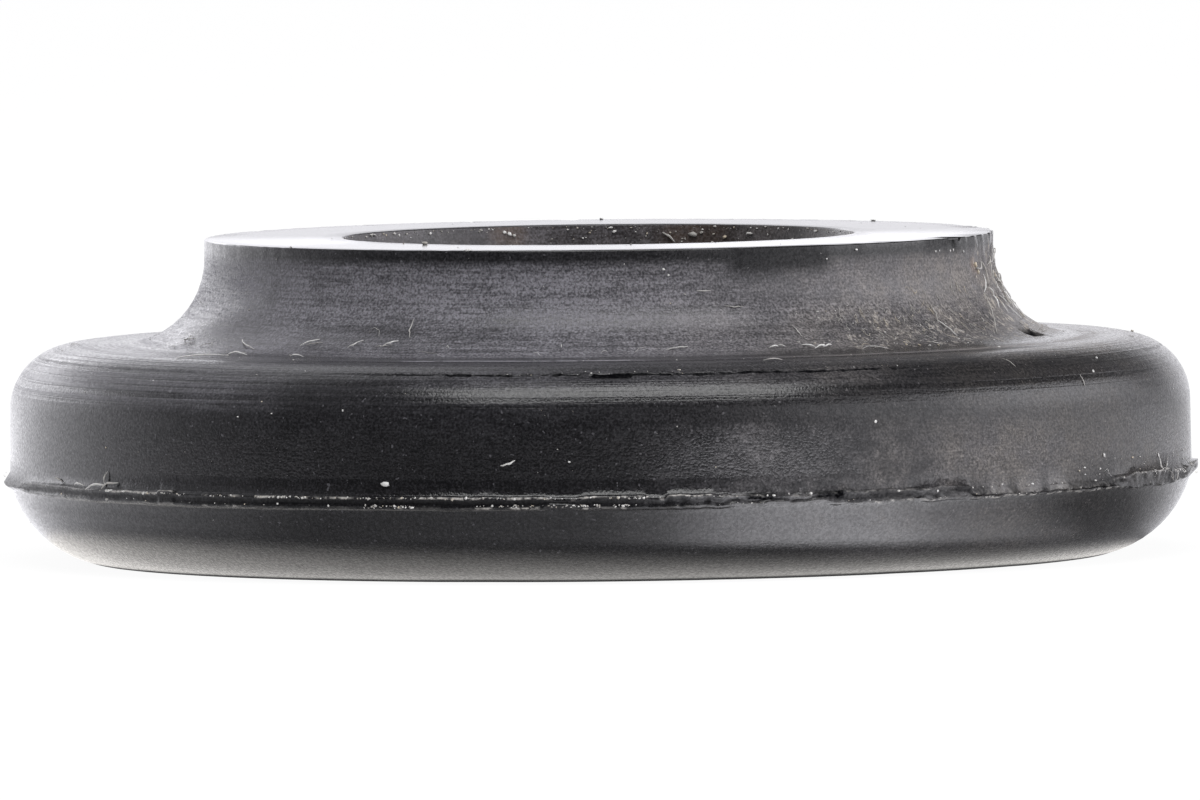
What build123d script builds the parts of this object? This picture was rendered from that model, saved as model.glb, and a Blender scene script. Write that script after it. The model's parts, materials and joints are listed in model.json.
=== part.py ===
"""Sealing washer: a flanged rubber washer, compression moulded in one piece.

A short neck stands on a thick round flange, with a plain bore through both. The mould
parts low on the flange, so the side above the parting plane leans in a little for release,
the underside below it curves in to a flat seat, and a thin fin of flash is left between.
"""
from build123d import *
from math import radians, tan
import os

# Diameters
bore_diameter = 10.4        # slips over the 10 mm stud that the washer seals around
neck_diameter = 16.0
flange_diameter = 24.0      # the body at the parting plane, without its flash

# Heights, from the seat upwards
parting_height = 1.65       # where the two halves of the mould meet
flange_thickness = 4.4      # top of the flange, where the neck's root runs out
neck_root_radius = 1.75     # concave sweep from the flange up into the neck
neck_land = 0.35            # straight band that is left at the top of the neck

# Flange
flange_fall = 0.04          # the top face falls this much on its way out to the rim
side_draft = 0.5            # degrees that the side leans in above the parting plane
shoulder_radius = 1.3       # rounded top edge of the flange
underside_inset = 1.6       # the seat's edge lies this far inside the flange's edge
underside_radius = 2.2      # convex sweep from the parting plane in to the seat

# Flash left on the parting line
flash_reach = 0.13          # how far it stands out of the body
flash_root = 0.34           # thickness where it leaves the body
flash_land = 0.20           # thickness at its torn edge

# Worked out from the sizes above
bore_radius = bore_diameter / 2
neck_radius = neck_diameter / 2
flange_radius = flange_diameter / 2
seat_radius = flange_radius - underside_inset
overall_height = flange_thickness + neck_root_radius + neck_land
rim_height = flange_thickness - flange_fall
rim_radius = flange_radius - (rim_height - parting_height) * tan(radians(side_draft))

# Each rounding keeps to its own share of the flange's top face
flange_overhang = rim_radius - neck_radius
root_fillet = min(neck_root_radius, 0.5 * flange_overhang)
shoulder_fillet = min(shoulder_radius, 0.4 * flange_overhang)

# The flash's flanks run on inside the body as far as they stand outside it
flash_radius = flange_radius + flash_reach
flash_foot_radius = flange_radius - flash_reach
flash_foot = 2 * flash_root - flash_land

with BuildPart() as sealing_washer:
    # Half section of the moulding, drawn to the right of its axis
    with BuildSketch(Plane.XZ) as section:
        with BuildLine():
            bore = Line((bore_radius, 0), (bore_radius, overall_height))
            top_face = Line(bore @ 1, (neck_radius, overall_height))
            neck = Line(top_face @ 1, (neck_radius, flange_thickness))
            flange_top = Line(neck @ 1, (rim_radius, rim_height))
            side = Line(flange_top @ 1, (flange_radius, parting_height))
            underside = RadiusArc(side @ 1, (seat_radius, 0), underside_radius)
            Line(underside @ 1, bore @ 0)
        make_face()
        fillet(section.vertices().sort_by_distance(neck @ 1)[0], root_fillet)
        fillet(section.vertices().sort_by_distance(side @ 0)[0], shoulder_fillet)
    revolve(axis=Axis.Z)

    # Section of the flash, standing across the parting plane
    with BuildSketch(Plane.XZ):
        with BuildLine():
            Polyline(
                (flash_foot_radius, parting_height - flash_foot / 2),
                (flash_radius, parting_height - flash_land / 2),
                (flash_radius, parting_height + flash_land / 2),
                (flash_foot_radius, parting_height + flash_foot / 2),
                close=True,
            )
        make_face()
    revolve(axis=Axis.Z)

sealing_washer.part.label = "sealing_washer"

os.makedirs("parts", exist_ok=True)
export_step(sealing_washer.part, "parts/sealing_washer.step")

print(f"overall height {overall_height:.2f} mm, seat diameter {2 * seat_radius:.1f} mm")
print(f"volume {sealing_washer.part.volume:.1f} mm3, valid {sealing_washer.part.is_valid}")
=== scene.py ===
# %% [markdown]
# # A moulded rubber sealing washer
# The object is one piece of black rubber: a short neck on a thick round flange, with a plain
# bore through both. The construction model already holds its true section. This script gives
# it the skin of a real moulding that has lain about in a workshop: torn flash, tool marks,
# a film of dust, lint and grit. It is read from top to bottom, one step at a time.

# %% Load the frame
import json
import math

import bpy
import numpy as np
from mathutils import Matrix, Vector


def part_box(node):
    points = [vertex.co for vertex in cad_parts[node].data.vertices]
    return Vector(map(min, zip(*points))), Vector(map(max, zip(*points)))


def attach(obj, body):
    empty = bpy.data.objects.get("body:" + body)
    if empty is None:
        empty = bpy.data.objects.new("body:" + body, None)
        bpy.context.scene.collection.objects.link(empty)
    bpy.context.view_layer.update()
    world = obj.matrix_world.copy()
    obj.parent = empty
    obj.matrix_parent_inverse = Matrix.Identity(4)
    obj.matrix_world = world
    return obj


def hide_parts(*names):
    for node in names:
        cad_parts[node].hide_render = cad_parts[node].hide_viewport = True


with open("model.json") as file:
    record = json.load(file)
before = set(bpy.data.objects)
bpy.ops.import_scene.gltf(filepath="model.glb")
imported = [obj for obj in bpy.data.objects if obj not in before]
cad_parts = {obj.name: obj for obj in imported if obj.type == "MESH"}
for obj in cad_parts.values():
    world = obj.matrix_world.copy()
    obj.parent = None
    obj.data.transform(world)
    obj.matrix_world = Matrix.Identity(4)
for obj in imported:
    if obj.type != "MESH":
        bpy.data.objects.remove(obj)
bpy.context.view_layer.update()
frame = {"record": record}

MM = 0.001

# %% [markdown]
# ## Sizes
# The outside of the box and the bore come from the frame, so they can't drift away from the
# construction model. The sizes between them are the moulding's own: where the mould parts,
# how round the shoulder is, how far the flash stands out. They are named once, in
# millimetres, and every later step works from them.

# %% Name the sizes of the moulding
_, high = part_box("sealing_washer")
bore_mount = next(m for m in frame["record"]["mounts"] if m["name"] == "bore")

OVERALL_HEIGHT = high.z / MM
FLASH_RADIUS = min(high.x, high.y) / MM
BORE_RADIUS = bore_mount["dims"]["r_mm"]
NECK_RADIUS = 8.0
FLASH_REACH = 0.13
FLASH_ROOT = 0.34
FLASH_LAND = 0.20
FLANGE_RADIUS = FLASH_RADIUS - FLASH_REACH
PARTING_HEIGHT = 1.65
FLANGE_THICKNESS = 4.4
FLANGE_FALL = 0.04
SIDE_DRAFT = math.radians(0.5)
NECK_ROOT_RADIUS = 1.75
SHOULDER_RADIUS = 1.3
UNDERSIDE_INSET = 1.6
UNDERSIDE_RADIUS = 2.2
EDGE_RADIUS = 0.03
LIP = 0.03                    # height of each of the flash's two torn lips
WITNESS_SHARE = 0.33          # share of the shoulder's turn that lies above the witness line
WITNESS_WIDTH_SHARE = 0.05    # share of the turn that the witness line takes up
SEAT_RADIUS = FLANGE_RADIUS - UNDERSIDE_INSET
RIM_HEIGHT = FLANGE_THICKNESS - FLANGE_FALL
RIM_RADIUS = FLANGE_RADIUS - (RIM_HEIGHT - PARTING_HEIGHT) * math.tan(SIDE_DRAFT)
print(f"flange {2 * FLANGE_RADIUS:.2f} mm, neck {2 * NECK_RADIUS:.2f} mm,"
      f" bore {2 * BORE_RADIUS:.2f} mm, height {OVERALL_HEIGHT:.2f} mm")

# %% [markdown]
# ## Drawing the half section
# A washer is a solid of revolution, so it could be a cylinder that is cut and bevelled, or a
# section that is turned round the axis, as the mould itself was turned on a lathe. The second
# way is used here. A single vertex is extruded along the straight runs and spun round the
# centres of the arcs, which leaves rows of points exactly where the detail needs them: close
# together on the shoulder and the flash, far apart on the flats. Every call of the pen ends
# with the number of rows it lays.

# %% Pen that draws the section, in the plane of X and Z
def edit_all():
    """Goes into edit mode with the whole mesh selected."""
    bpy.ops.object.mode_set(mode="EDIT")
    bpy.ops.mesh.select_all(action="SELECT")


def leave_edit():
    bpy.ops.object.mode_set(mode="OBJECT")


def put_pen_down(name, point):
    bpy.ops.object.select_all(action="DESELECT")
    bpy.ops.mesh.primitive_plane_add(size=MM, location=(0, 0, 0))
    drawn = bpy.context.object
    drawn.name = drawn.data.name = name
    edit_all()
    bpy.ops.mesh.merge(type="CENTER")
    bpy.ops.transform.translate(value=(point.x * MM, 0, point.y * MM))
    return drawn


class Pen:
    """Keeps the end point of the section, in millimetres: x is the radius and y the height."""

    def __init__(self, name, point):
        self.at = Vector(point)
        self.drawn = put_pen_down(name, self.at)

    def line(self, point, steps):
        point = Vector(point)
        step = (point - self.at) / steps * MM
        for _ in range(steps):
            bpy.ops.mesh.extrude_region_move(
                TRANSFORM_OT_translate={"value": (step.x, 0, step.y)})
        self.at = point

    def arc(self, centre, turn, steps):
        """A positive turn, in radians, goes counter-clockwise with the height drawn upwards."""
        centre = Vector(centre)
        bpy.ops.mesh.spin(steps=steps, angle=turn, axis=(0, 1, 0),
                          center=(centre.x * MM, 0, centre.y * MM))
        self.at = centre + Matrix.Rotation(turn, 2) @ (self.at - centre)

    def corner(self, corner, onward, radius, run_steps, *arcs):
        """A line to the corner, which is rounded towards the next point.

        Each of the arcs is a share of the whole turn and the number of steps it has."""
        corner, onward = Vector(corner), Vector(onward)
        before = (corner - self.at).normalized()
        after = (onward - corner).normalized()
        turn = math.atan2(before.cross(after), before.dot(after))
        self.line(corner - before * radius * math.tan(abs(turn) / 2), run_steps)
        centre = self.at + Vector((-before.y, before.x)) * math.copysign(radius, turn)
        for share, steps in arcs:
            self.arc(centre, turn * share, steps)


# %% [markdown]
# ## The runs of the section
# It starts at the bottom of the bore and goes up the bore, over the top, down the neck and
# the flange, round the flash and back along the seat. The shoulder has four short steps a
# third of the way round, where the mould left a witness line, and the flash has a pair of
# thin lips, because it was torn off and not cut.

# %% Draw the section
def side_radius(height):
    return FLANGE_RADIUS - (height - PARTING_HEIGHT) * math.tan(SIDE_DRAFT)


parting_edge = Vector((FLANGE_RADIUS, PARTING_HEIGHT))
seat_edge = Vector((SEAT_RADIUS, 0.0))
chord = seat_edge - parting_edge
inwards = Vector((chord.y, -chord.x)).normalized()
underside_centre = (parting_edge + chord / 2
                    + inwards * math.sqrt(UNDERSIDE_RADIUS ** 2 - (chord.length / 2) ** 2))
flash_top = PARTING_HEIGHT + FLASH_ROOT / 2
flash_bottom = PARTING_HEIGHT - FLASH_ROOT / 2
below_flash = Vector((underside_centre.x + math.sqrt(
    UNDERSIDE_RADIUS ** 2 - (flash_bottom - underside_centre.y) ** 2), flash_bottom))
land_top = Vector((FLASH_RADIUS, PARTING_HEIGHT + FLASH_LAND / 2))
land_bottom = Vector((FLASH_RADIUS, PARTING_HEIGHT - FLASH_LAND / 2))
lip_step = Vector((0, LIP))

below_witness = 1 - WITNESS_SHARE - WITNESS_WIDTH_SHARE

pen = Pen("rubber_body", (BORE_RADIUS, 0))
pen.corner((BORE_RADIUS, OVERALL_HEIGHT), (NECK_RADIUS, OVERALL_HEIGHT), EDGE_RADIUS, 3, (1, 2))
pen.corner((NECK_RADIUS, OVERALL_HEIGHT), (NECK_RADIUS, 0), EDGE_RADIUS, 5, (1, 2))
pen.corner((NECK_RADIUS, FLANGE_THICKNESS), (RIM_RADIUS, RIM_HEIGHT), NECK_ROOT_RADIUS,
           2, (1, 12))
pen.corner((RIM_RADIUS, RIM_HEIGHT), parting_edge, SHOULDER_RADIUS,
           3, (WITNESS_SHARE, 5), (WITNESS_WIDTH_SHARE, 4), (below_witness, 9))
pen.line((side_radius(flash_top), flash_top), 4)
pen.line(land_top, 2)
pen.line(land_top - lip_step, 1)
pen.line(land_bottom + lip_step, 3)
pen.line(land_bottom, 1)
pen.line(below_flash, 2)
start, end = (below_flash - underside_centre), (seat_edge - underside_centre)
pen.arc(underside_centre, -math.acos(start.normalized().dot(end.normalized())), 10)
pen.line((BORE_RADIUS, 0), 3)
body = pen.drawn
edit_all()
bpy.ops.mesh.remove_doubles(threshold=1e-7)
leave_edit()
print("section points:", len(body.data.vertices))

# %% [markdown]
# ## Measuring along the skin
# Marks from the mould's turning run round the washer at one place of the section, whether
# that place is on a wall, a curve or a flat. So each point of the section is given its
# distance along the skin, in millimetres, before it is turned round the axis. The turning
# copies the value with the point, and the shaping steps and the material both use it.

# %% Give each section point its distance along the skin
def write_value(mesh, name, values):
    mesh.attributes.new(name, "FLOAT", "POINT").data.foreach_set("value", values)


def walk_section(mesh):
    """The section's points in order, from the bottom of the bore and up."""
    neighbours = {vertex.index: [] for vertex in mesh.vertices}
    for edge in mesh.edges:
        a, b = edge.vertices
        neighbours[a].append(b)
        neighbours[b].append(a)
    first = min(mesh.vertices, key=lambda v: v.co.x + v.co.z).index
    upwards = max(neighbours[first], key=lambda i: mesh.vertices[i].co.z)
    order = [first, upwards]
    while len(order) < len(mesh.vertices):
        a, b = neighbours[order[-1]]
        order.append(b if a == order[-2] else a)
    return order


order = walk_section(body.data)
section = np.array([body.data.vertices[i].co for i in order])[:, [0, 2]] / MM
steps = np.linalg.norm(np.diff(section, axis=0), axis=1)
distance = np.concatenate([[0], np.cumsum(steps)])
along_section = np.zeros(len(order))
along_section[order] = distance
write_value(body.data, "along", along_section)
tangent = np.gradient(section, distance, axis=0)
tangent /= np.linalg.norm(tangent, axis=1)[:, None]
outward = np.column_stack([-tangent[:, 1], tangent[:, 0]])
print(f"the skin is {distance[-1]:.2f} mm long in section")

# %% [markdown]
# ## Turning the section round the axis
# The spin tool would do this in edit mode, but it slows down badly over a thousand steps.
# The screw modifier with no rise makes the same ring at once and closes its own seam.

# %% Turn the section into the body
TURN_STEPS = 1200


def pick(piece):
    bpy.ops.object.select_all(action="DESELECT")
    piece.select_set(True)
    bpy.context.view_layer.objects.active = piece


pick(body)
screw = body.modifiers.new("turning", "SCREW")
screw.angle = math.tau
screw.screw_offset = 0
screw.steps = screw.render_steps = TURN_STEPS
screw.use_merge_vertices = True
screw.merge_threshold = 1e-7
bpy.ops.object.modifier_apply(modifier="turning")
edit_all()
bpy.ops.mesh.remove_doubles(threshold=1e-6)
bpy.ops.mesh.normals_make_consistent(inside=False)
leave_edit()
print("body faces:", len(body.data.polygons))

# %% [markdown]
# ## More points where the flash is torn
# The torn flash is by far the finest shape on the washer, a few hundredths of a millimetre
# from crumb to crumb. Only its edges that run round the washer are cut in two, so the rest
# of the body doesn't pay for it.

# %% Cut the flash's round edges in two
def read_value(mesh, name):
    values = np.empty(len(mesh.vertices))
    mesh.attributes[name].data.foreach_get("value", values)
    return values


def edit_only(mesh, kind, chosen):
    """Goes into edit mode with only the chosen edges or faces selected."""
    bpy.ops.object.mode_set(mode="EDIT")
    bpy.ops.mesh.select_mode(type=kind)
    bpy.ops.mesh.select_all(action="DESELECT")
    leave_edit()
    parts = mesh.edges if kind == "EDGE" else mesh.polygons
    parts.foreach_set("select", chosen)
    bpy.ops.object.mode_set(mode="EDIT")


MARGIN = 0.02

flash_rows = np.flatnonzero(
    (section[:, 0] > FLANGE_RADIUS - MARGIN)
    & (np.abs(section[:, 1] - PARTING_HEIGHT) < FLASH_ROOT / 2 + MARGIN))
flash_start, flash_end = distance[flash_rows[0]], distance[flash_rows[-1]]
along = read_value(body.data, "along")
ends = np.empty(2 * len(body.data.edges), dtype=int)
body.data.edges.foreach_get("vertices", ends)
end_along = along[ends.reshape(-1, 2)]
runs_round = np.ptp(end_along, axis=1) < LIP / 10
after_start = end_along.min(axis=1) > flash_start - LIP / 10
before_end = end_along.max(axis=1) < flash_end + LIP / 10
edit_only(body.data, "EDGE", runs_round & after_start & before_end)
bpy.ops.mesh.subdivide(number_cuts=1)
leave_edit()
body.data.calc_loop_triangles()
print("rows in the flash:", len(flash_rows), " body triangles:", len(body.data.loop_triangles))

# %% [markdown]
# ## Shaping the skin
# A real moulding is never quite round or smooth. In a sculpting session the unevenness would
# be brushed on; here each kind is a few lines of arithmetic on every point at once. A point
# is known by its angle round the washer, in degrees from the front and positive to the right
# of it, and by its distance along the skin. Each shaping step adds to a list of how far the
# points rise out of the skin. The flash has two lists more: how far it moves outwards and
# how far up.

# %% Know every point by its angle and its distance along the skin
points = np.empty(3 * len(body.data.vertices))
body.data.vertices.foreach_get("co", points)
points = points.reshape(-1, 3) / MM
along = read_value(body.data, "along")
angle = np.degrees(np.arctan2(points[:, 0], -points[:, 1]))
rise = np.zeros(len(along))


def on_section(table, where):
    """A row of the section's table, or a mix of two, for each distance along the skin."""
    return np.interp(where, distance, table)


height = on_section(section[:, 1], along)
radius = on_section(section[:, 0], along)
top_edge = distance[np.flatnonzero(section[:, 1] > OVERALL_HEIGHT - EDGE_RADIUS / 2)]
bore_end, neck_start = top_edge[0], top_edge[-1]


def down_to(wanted_height):
    """The distance along the skin of a height on the outside of the washer."""
    lower = distance >= neck_start
    return np.interp(-np.asarray(wanted_height), -section[lower, 1], distance[lower])


def up_to(wanted_height):
    """The distance along the skin of a height on the wall of the bore."""
    wall = distance <= bore_end
    return np.interp(wanted_height, section[wall, 1], distance[wall])


def out_to(wanted_radius):
    """The distance along the skin of a radius on the flange's upper face."""
    upper = (distance > down_to(4.9)) & (distance < down_to(3.6))
    return np.interp(wanted_radius, section[upper, 0], distance[upper])


def to_skin(at, wanted_height):
    """The same for a place at an angle: behind, what shows is the wall of the bore."""
    return float(up_to(wanted_height) if abs(at) > 100 else down_to(wanted_height))


print("along the skin, in mm: bore ends", round(bore_end, 2), ", neck starts",
      round(neck_start, 2), ", flash from", round(flash_start, 2), "to", round(flash_end, 2))

# %% [markdown]
# ## Noise that closes on itself
# Anything random round a washer has to meet itself after a full turn. So the noise is a
# lattice of random heights with a whole number of cells round the washer, smoothed in
# between. One row of cells gives noise that changes with the angle only.

# %% Noise on the skin
def smooth(share):
    share = np.clip(share, 0, 1)
    return share * share * (3 - 2 * share)


def read_lattice(lattice, row=0):
    """Mixes two neighbours of a row of the lattice, by each point's angle."""
    columns = lattice.shape[1]
    across = (angle / 360 % 1) * columns
    column = across.astype(int) % columns
    share = smooth(across - across.astype(int))
    return lattice[row, column] * (1 - share) + lattice[row, (column + 1) % columns] * share


def skin_noise(cell_round, cell_along, seed):
    """Smooth noise from -1 to 1 at every point. Cells are in millimetres."""
    columns = round(math.tau * FLANGE_RADIUS / cell_round)
    rows = int(distance[-1] / cell_along) + 2
    lattice = np.random.default_rng(seed).uniform(-1, 1, (rows, columns))
    down = along / cell_along
    row = down.astype(int)
    share = smooth(down - row)
    return read_lattice(lattice, row) * (1 - share) + read_lattice(lattice, row + 1) * share


def ring_noise(cell_round, seed):
    """Smooth noise from -1 to 1 that changes only round the washer."""
    columns = round(math.tau * FLANGE_RADIUS / cell_round)
    return read_lattice(np.random.default_rng(seed).uniform(-1, 1, (1, columns)))


def around(centre, half_width, soft):
    """1 within the half width of an angle, fading to 0 over the soft degrees."""
    off = np.abs((angle - centre + 180) % 360 - 180)
    return 1 - smooth((off - half_width) / soft)


def between(start, end, soft):
    """1 between two distances along the skin, fading to 0 over the soft millimetres."""
    return smooth((along - start) / soft + 1) * smooth((end - along) / soft + 1)


def stretches(everywhere, *parts):
    """An amount everywhere, and more round some angles: centre, half width, soft, amount."""
    return everywhere + sum(amount * around(*where) for *where, amount in parts)


def patch(centre, half_width, soft, start, end, edge):
    """1 round an angle and between two distances along the skin, and 0 elsewhere."""
    return around(centre, half_width, soft) * between(start, end, edge)


# %% [markdown]
# ## The slow unevenness of rubber
# Rubber shrinks unevenly as it cures, by a few thousandths of a millimetre. Nobody sees that
# as shape, but it bends the reflections, and they give a moulded part away.

# %% Let the skin wave a little
rise += 0.004 * skin_noise(2.6, 1.3, 11) + 0.002 * skin_noise(0.9, 0.7, 12)
print("waves: up to", round(float(np.abs(rise).max()), 4), "mm")

# %% [markdown]
# ## Torn flash
# Where the halves of the mould met, a thin web of rubber squeezed out and was torn off. What
# is left is a ring with an upper and a lower lip, both ragged, that stands out by different
# amounts from place to place. The front has been rubbed down most. A few stretches are
# lifted, stepped or folded over, and those are named one by one.

# %% Tear the flash
side_of_root = np.where(height > PARTING_HEIGHT, side_radius(flash_top), below_flash.x)
flash_share = np.clip((radius - side_of_root) / (FLASH_RADIUS - side_of_root), 0, 1)
flash_share *= between(flash_start, flash_end, 1e-3)
upper = smooth((height - PARTING_HEIGHT) / FLASH_LAND + 0.5)
lower = 1 - upper

wildness = stretches(0.22, (30, 20, 8, 0.90), (68, 14, 8, 1.00), (150, 60, 30, 0.30))


def lip_reach(usual, slow, middling, fast, seed):
    """How far a lip reaches, as a share, from three sizes of cell and the first of 3 seeds."""
    torn_off = 0.13 * ring_noise(middling, seed + 1) + 0.10 * ring_noise(fast, seed + 2)
    return usual + 0.10 * ring_noise(slow, seed) + wildness * torn_off


reach = upper * lip_reach(0.80, 1.3, 0.34, 0.13, 21)
reach += lower * lip_reach(0.74, 1.1, 0.30, 0.12, 121)
reach += stretches(0, (-86, 4, 4, 0.20), (88, 8, 6, 0.30))
flash_out = flash_share * (np.clip(reach, 0.2, 1.0) - 1) * FLASH_REACH
flash_out += flash_share * wildness * 0.016 * skin_noise(0.16, 0.06, 29)

groove = np.clip(1 - np.abs(height - PARTING_HEIGHT) / (FLASH_LAND / 2 - LIP / 2), 0, 1)
flash_out -= flash_share * smooth(groove * 2) * (0.030 + 0.015 * ring_noise(0.7, 24))

upper_ragged = 0.014 * ring_noise(0.45, 25) + 0.016 * wildness * ring_noise(0.13, 26)
lower_ragged = 0.016 * ring_noise(0.5, 27) + 0.016 * wildness * ring_noise(0.12, 28)
flash_up = flash_share * (upper * upper_ragged + lower * lower_ragged)
FLASH_EVENTS = (
    # name, angle, half width, soft edge, upper lip lifts, lower lip lifts, reach changes
    ("lifted stretch", 1.6, 2.2, 2.4, 0.035, 0.0, 0.0),
    ("step down", 5.2, 0.7, 0.5, -0.04, 0.0, -0.02),
    ("light flap", 8.4, 1.9, 0.6, 0.045, 0.0, 0.02),
    ("thinned stretch", 17.0, 4.0, 1.6, -0.02, 0.05, -0.03),
    ("dark pocket", 27.4, 3.6, 1.0, 0.02, -0.01, -0.08),
    ("folded flap", 35.6, 1.6, 0.8, 0.05, 0.03, 0.03),
    ("crossed flap", -3.6, 1.2, 0.8, -0.03, 0.05, 0.015),
    ("worn away", 48.0, 9.0, 3.0, -0.13, 0.0, -0.02),
    ("tangled tear", 67.0, 4.0, 3.0, 0.07, -0.03, 0.0),
    ("raised tip", 85.0, 4.0, 5.0, 0.06, 0.14, 0.02),
    ("left bump", -46.0, 0.8, 0.6, 0.07, 0.0, 0.02),
    ("left tip", -88.0, 9.0, 8.0, -0.14, 0.05, 0.0),
    ("back tear", 168.0, 4.0, 2.0, 0.08, -0.04, -0.03),
    ("back fold", -128.0, 2.5, 1.5, 0.06, 0.05, 0.03),
)
for name, centre, half_width, soft, upper_lift, lower_lift, more_reach in FLASH_EVENTS:
    here = around(centre, half_width, soft) * flash_share
    flash_up += here * (upper * upper_lift + lower * lower_lift)
    flash_out += here * more_reach
flash_out = np.clip(flash_out, -0.95 * FLASH_REACH * flash_share, 0)
print("flash stands out by", round(float(FLASH_REACH + flash_out[flash_share > 0.99].min()), 3),
      "to", round(float(FLASH_REACH + flash_out[flash_share > 0.99].max()), 3), "mm")

# %% [markdown]
# ## Witness line, nick, slit and chips
# The shoulder carries a fine groove where two parts of the mould met, deepest at the front,
# with a nick beside it. There is a short slit in the neck's root on the right, and the
# neck's upper edge is chipped and a little ragged on that side.

# %% Cut the small marks
witness_turn = math.radians(90 * (WITNESS_SHARE + WITNESS_WIDTH_SHARE / 2))
witness = down_to(RIM_HEIGHT - SHOULDER_RADIUS * (1 - math.cos(witness_turn)))
witness_depth = 0.004 + 0.004 * around(3, 22, 12)
rise -= witness_depth * between(witness - 0.02, witness + 0.02, 0.03)
nick = (1.1, 1.8, 0.4, witness, witness + 0.04)
rise -= 0.035 * patch(*nick, 0.03)

slit_middle = down_to(4.525)
slit = (73.8, 2.2, 0.4, slit_middle - 0.06, slit_middle + 0.06)
rise -= 0.09 * patch(*slit, 0.04)

chips = np.clip(skin_noise(0.35, 0.5, 31) - 0.25, 0, 1) * around(61, 4, 3)
chips += 0.5 * np.clip(skin_noise(0.3, 0.5, 32) - 0.45, 0, 1) * around(-150, 50, 20)
rise -= 0.11 * chips * between(neck_start - 0.04, neck_start + 0.12, 0.10)
chip_end = neck_start + 0.30 * np.clip(1 - np.abs(angle - 63.8) / 2.4, 0, 1)
wedge = smooth((chip_end - along) / 0.06) * (along > neck_start - 0.02)
rise -= 0.045 * wedge
ragged_edge = 0.012 * around(75, 30, 12) + 0.004
rise += ragged_edge * ring_noise(0.3, 33) * between(neck_start, neck_start + 0.25, 0.2)
scab = patch(84, 12, 8, neck_start + 0.1, down_to(5.2), 0.2)
rise += 0.036 * scab * (skin_noise(0.4, 0.16, 36) + 0.7 * skin_noise(0.2, 0.08, 37))
print("witness line at height", round(float(np.interp(witness, distance, section[:, 1])), 2))

# %% Move the points
normal_r, normal_z = on_section(outward[:, 0], along), on_section(outward[:, 1], along)
shaped_radius = radius + rise * normal_r + flash_out
shaped_height = height + rise * normal_z + flash_up
shaped_radius = np.minimum(shaped_radius, FLASH_RADIUS)
shaped_height = np.clip(shaped_height, 0, OVERALL_HEIGHT)
turn = np.radians(angle)
points = np.column_stack([shaped_radius * np.sin(turn), -shaped_radius * np.cos(turn),
                          shaped_height])
body.data.vertices.foreach_set("co", (points * MM).ravel())
body.data.update()
pick(body)
bpy.ops.object.shade_smooth()
print("furthest move:", round(float(np.hypot(shaped_radius - radius,
                                             shaped_height - height).max()), 3), "mm")

# %% [markdown]
# ## Painting dirt and painted light on the points
# Values are painted on the points for the material to use: a film of dust with a painted
# reflection in one patch, how mottled that film is, where the turning marks show with a painted
# sheen, pale torn rubber, dark grime with painted shade in the hollows, the polished upper
# face, how strong the crease's painted shade and the neck's painted root highlight are,
# strands of soil and rusty stains.
# Each patch of dust is named, with its place and its strength. The noise that breaks their
# edges up belongs to the material, because it is finer than the points.

# %% Paint the film of dust, with one painted reflection
def paint(name, values):
    values = np.clip(values, 0, 1)
    write_value(body.data, name, values)
    print(f"{name}: mean {values.mean():.3f}, greatest {values.max():.2f}")


flange_top, rim_turn, side_start = down_to(4.42), down_to(RIM_HEIGHT - 0.02), down_to(3.0)
DUST_BANDS = (
    # where, from, to, soft edge, amount, how mottled
    ("bore", -1.0, bore_end - 0.10, 0.2, 0.40, 1.0),
    ("upper face", bore_end, neck_start, 0.2, 0.04, 0.3),
    ("neck", down_to(6.05), down_to(5.1), 0.30, 0.61, 0.30),
    ("root of the neck", down_to(5.2), down_to(4.42), 0.12, 0.46, 0.30),
    ("upper face of the flange", flange_top, rim_turn + 0.1, 0.25, 0.10, 0.4),
    ("shoulder", rim_turn + 0.4, side_start, 0.4, 0.03, 0.5),
    ("side", side_start, flash_start, 0.5, 0.012, 0.85),
    ("underside", flash_end, distance[-1] + 1, 0.2, 0.02, 0.35),
)
dust = np.zeros(len(along))
mottle = np.zeros(len(along))
for name, start, end, soft, amount, mottled in DUST_BANDS:
    here = between(start, end, soft)
    dust = np.maximum(dust, amount * here)
    mottle = np.maximum(mottle, mottled * here)

DUST_AND_REFLECTION_PATCHES = (
    # where, angle, half width, soft, from height, to height, soft edge, amount
    ("mottled side", 30, 13, 15, 2.9, 1.77, 0.40, 0.19),
    ("side by the flash", 60, 18, 14, 2.6, 1.76, 0.3, 0.14),
    ("right side, under the shoulder", 51, 12, 7, 3.50, 2.4, 0.10, 0.06),
    # The light patch underneath is a painted reflection: pale paint where the belly mirrors the
    # bench's bright stretch.
    ("light patch underneath", 28, 15, 9, 1.40, 0.88, 0.14, 0.14),
    ("below the light patch", 40, 12, 8, 0.70, 0.40, 0.15, 0.12),
    ("right of the neck", 46, 22, 16, 6.3, 4.5, 0.4, -0.09),
    ("right of the root", 52, 26, 12, 4.50, 4.39, 0.06, -0.30),
    ("far left of the neck", -80, 12, 14, 6.2, 4.5, 0.3, -0.15),
    ("scuffed shoulder", 6, 18, 12, 4.20, 3.95, 0.12, 0.12),
    ("shoulder at the left", -60, 20, 12, 4.3, 3.6, 0.3, 0.08),
    ("right of the flange", 62, 14, 10, 4.39, 4.30, 0.4, 0.12),
)
for name, centre, half_width, soft, top, bottom, edge, amount in DUST_AND_REFLECTION_PATCHES:
    dust += amount * patch(centre, half_width, soft, down_to(top), down_to(bottom), edge)
dust *= 1 + 0.16 * skin_noise(2.2, 0.9, 41) + 0.14 * skin_noise(0.7, 0.35, 42)
dust *= 1 - 0.85 * patch(27, 6.5, 3, neck_start, down_to(5.98), 0.12)
dust += 0.22 * around(132, 10, 6) * (along < bore_end - 0.05)
dust *= 1 - 0.45 * patch(-29.8, 3.5, 2, down_to(4.98), down_to(4.82), 0.06)
mottle *= 1 - 0.75 * patch(56, 18, 8, side_start, flash_start, 0.3)
paint("dust", dust)
paint("mottle", mottle)
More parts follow.
